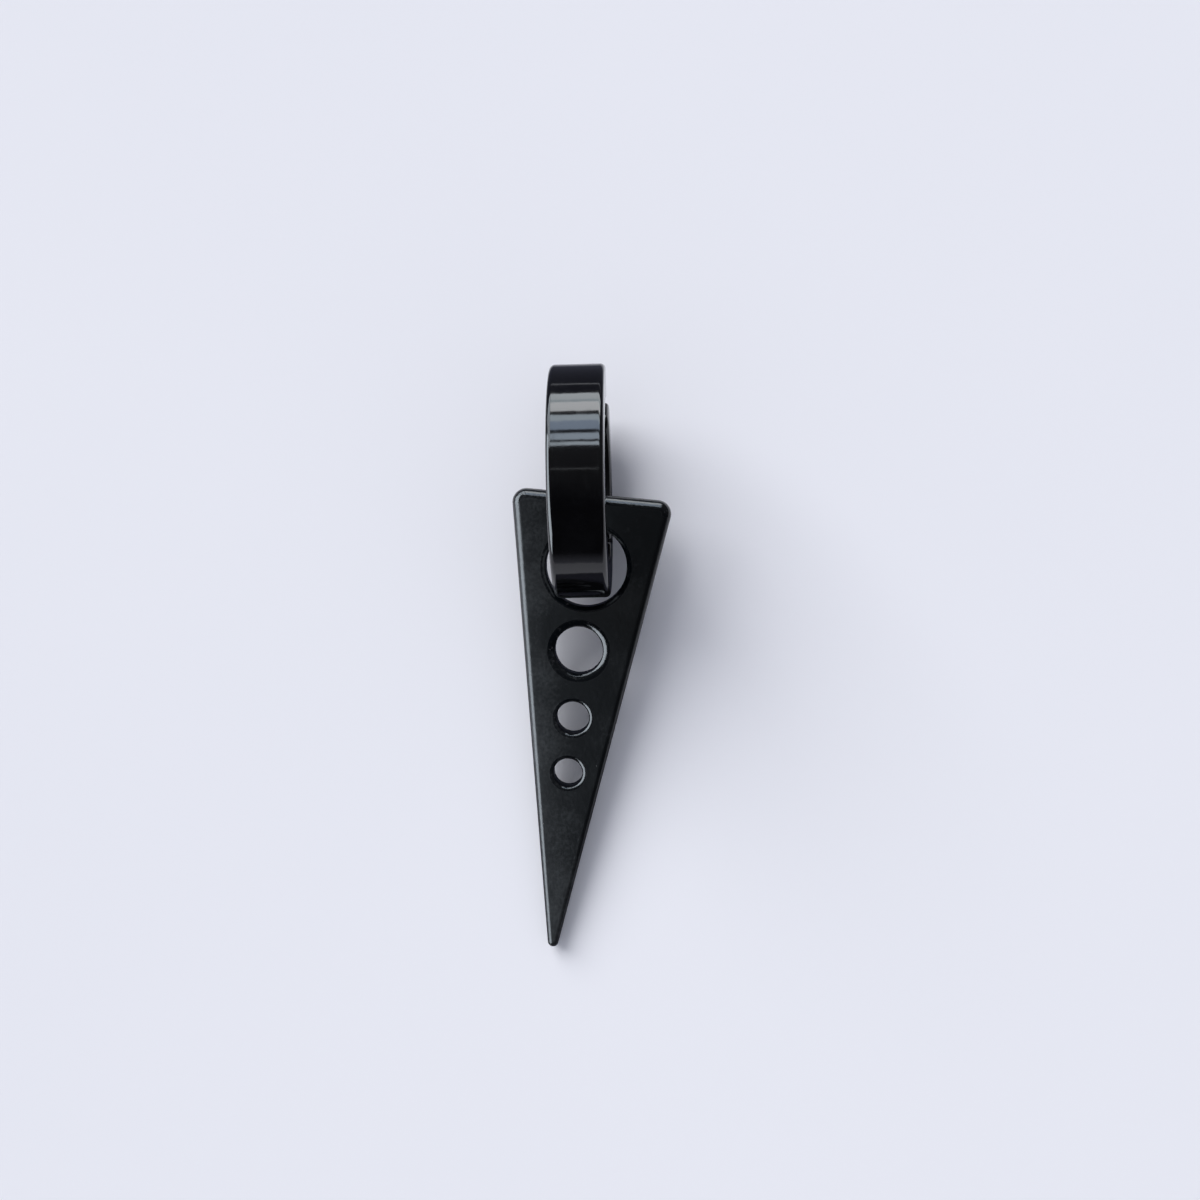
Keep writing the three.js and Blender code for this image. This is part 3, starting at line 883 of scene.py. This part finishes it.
# the window stands this far beyond the hoop; its sheets are measured in mm
windowDistance = 46 * mm
paneSides = {"fromX": -9, "toX": 32}
windowPanes = [
    {"low": 0.2, "high": 1.5, "glow": 1.3, "colour": (0.9, 0.94, 1.0)},
    {"low": 12, "high": 18.5, "glow": 5.7, "colour": (0.88, 0.95, 1.0)},
    {"low": 18.5, "high": 21, "glow": 4.6, "colour": (0.8, 0.93, 1.0)},
    {"low": 21, "high": 30.5, "glow": 7.4, "colour": (0.94, 0.97, 1.0)},
    {"low": 34.5, "high": 41.5, "glow": 6.2, "colour": (0.78, 0.9, 1.0)},
    {"low": 41.5, "high": 54, "glow": 4.8, "colour": (0.62, 0.77, 1.0)},
    {"low": 59.5, "high": 72.5, "glow": 6.0, "colour": (0.72, 0.85, 1.0)},
    {"low": 78, "high": 87.5, "glow": 6.7, "colour": (0.78, 0.89, 1.0)},
]

# to the left of its panes the window is divided by uprights instead
windowLight = {"low": 11, "high": 86, "glow": 5.6, "colour": (0.82, 0.91, 1.0)}
lightSides = [
    {"fromX": -62, "toX": -48},
    {"fromX": -44, "toX": -30},
    {"fromX": -26, "toX": -12},
]


def makeKey():
    sun = bpy.data.lights.new("key", "SUN")
    sun.energy = keyLight["strength"]
    sun.angle = math.radians(keyLight["spread"])
    sun.color = keyLight["colour"]
    holder = bpy.data.objects.new("key", sun)
    holder.rotation_euler = keyLight["from"].to_track_quat("Z", "Y").to_euler()
    holder.visible_glossy = False
    bpy.context.scene.collection.objects.link(holder)


def reflectedSheet(name, place, facing, width, height, look):
    # a glowing sheet that shows only in glossy surfaces
    light = bpy.data.lights.new(name, "AREA")
    light.shape = "RECTANGLE"
    light.size = width
    light.size_y = height
    light.energy = look["glow"] * math.pi * width * height
    light.color = look["colour"]
    holder = bpy.data.objects.new(name, light)
    holder.location = place
    holder.rotation_euler = Vector(facing).to_track_quat("-Z", "Y").to_euler()
    holder.visible_camera = False
    holder.visible_diffuse = False
    bpy.context.scene.collection.objects.link(holder)


def windowSheet(name, sides, look):
    width = (sides["toX"] - sides["fromX"]) * mm
    height = (look["high"] - look["low"]) * mm
    middleX = (sides["fromX"] + sides["toX"]) / 2 * mm
    middleZ = (look["low"] + look["high"]) / 2 * mm
    place = Vector((hoopCentre.x + middleX, hoopCentre.y + windowDistance, middleZ))
    reflectedSheet(name, place, (0, -1, 0), width, height, look)


def mirroredRoom(tree, split):
    # what the black finish reflects: dim, less dim beyond the hoop, and a low glow near the viewer
    far = spread(tree, (-700, -100), split.outputs["Y"], room["farFrom"], room["farFull"], 0.0, 1.0)
    mirrored = addNode(tree, "ShaderNodeMix", (-500, -100), data_type="RGBA")
    mirrored.inputs["A"].default_value = room["mirroredNear"]
    mirrored.inputs["B"].default_value = room["mirroredFar"]
    tree.links.new(far, mirrored.inputs["Factor"])
    low = spread(tree, (-700, -300), split.outputs["Z"], 0.0, room["glowHeight"], 1.0, 0.0)
    near = spread(tree, (-700, -450), split.outputs["Y"], room["glowFull"], room["glowTo"], 1.0, 0.0)
    glowing = addNode(tree, "ShaderNodeMix", (-350, -250), data_type="RGBA")
    tree.links.new(maths(tree, "MULTIPLY", (-500, -350), low, near), glowing.inputs["Factor"])
    tree.links.new(mirrored.outputs["Result"], glowing.inputs["A"])
    glowing.inputs["B"].default_value = room["lowGlow"]
    return glowing.outputs["Result"]


def makeWorld():
    world = bpy.data.worlds.new("room")
    bpy.context.scene.world = world
    world.use_nodes = True
    tree = world.node_tree
    path = addNode(tree, "ShaderNodeLightPath", (-600, 200))
    way = addNode(tree, "ShaderNodeTexCoord", (-1100, -100))
    split = addNode(tree, "ShaderNodeSeparateXYZ", (-900, -100))
    tree.links.new(way.outputs["Generated"], split.inputs["Vector"])
    ambient = addNode(tree, "ShaderNodeMix", (-500, 200), data_type="RGBA")
    ambient.inputs["A"].default_value = room["horizon"]
    ambient.inputs["B"].default_value = room["overhead"]
    tree.links.new(split.outputs["Z"], ambient.inputs["Factor"])
    lit = addNode(tree, "ShaderNodeMix", (-300, 0), data_type="RGBA")
    tree.links.new(ambient.outputs["Result"], lit.inputs["A"])
    tree.links.new(mirroredRoom(tree, split), lit.inputs["B"])
    tree.links.new(path.outputs["Is Glossy Ray"], lit.inputs["Factor"])
    shown = addNode(tree, "ShaderNodeMix", (-100, 0), data_type="RGBA")
    tree.links.new(lit.outputs["Result"], shown.inputs["A"])
    shown.inputs["B"].default_value = room["seen"]
    tree.links.new(path.outputs["Is Camera Ray"], shown.inputs["Factor"])
    tree.links.new(shown.outputs["Result"], tree.nodes["Background"].inputs["Color"])


def makeLights():
    makeKey()
    for index, pane in enumerate(windowPanes):
        windowSheet(f"pane{index}", paneSides, pane)
    for index, sides in enumerate(lightSides):
        windowSheet(f"windowLight{index}", sides, windowLight)
    reflectedSheet("lampLine", lampLine["from"], (0, 0, -1), lampLine["length"], lampLine["width"],
                   lampLine)
    reflectedSheet("leftWall", leftWall["from"], hoopCentre - leftWall["from"], leftWall["width"],
                   leftWall["height"], leftWall)


makeWorld()
makeLights()
print("floor and light made")


# ---- camera: high over the table, looking almost straight down

view = {
    "stand": Vector((5.27, 4.11, 125.4)) * mm, "look": Vector((0.236, 4.08, 0)) * mm,
    "roll": 1.19, "lens": 55.8, "sensor": 36,
}


def makeCamera():
    camera = bpy.data.cameras.new("camera")
    camera.lens = view["lens"]
    camera.sensor_width = view["sensor"]
    camera.clip_start = 1 * mm
    holder = bpy.data.objects.new("camera", camera)
    back = (view["stand"] - view["look"]).normalized()
    roll = math.radians(view["roll"])
    right = Vector((math.sin(roll), math.cos(roll), 0)).cross(back).normalized()
    up = back.cross(right)
    facing = Matrix((right, up, back)).transposed()
    holder.matrix_world = Matrix.Translation(view["stand"]) @ facing.to_4x4()
    bpy.context.scene.collection.objects.link(holder)
    bpy.context.scene.camera = holder


makeCamera()
bpy.context.scene.view_settings.view_transform = "Standard"
bpy.context.view_layer.update()
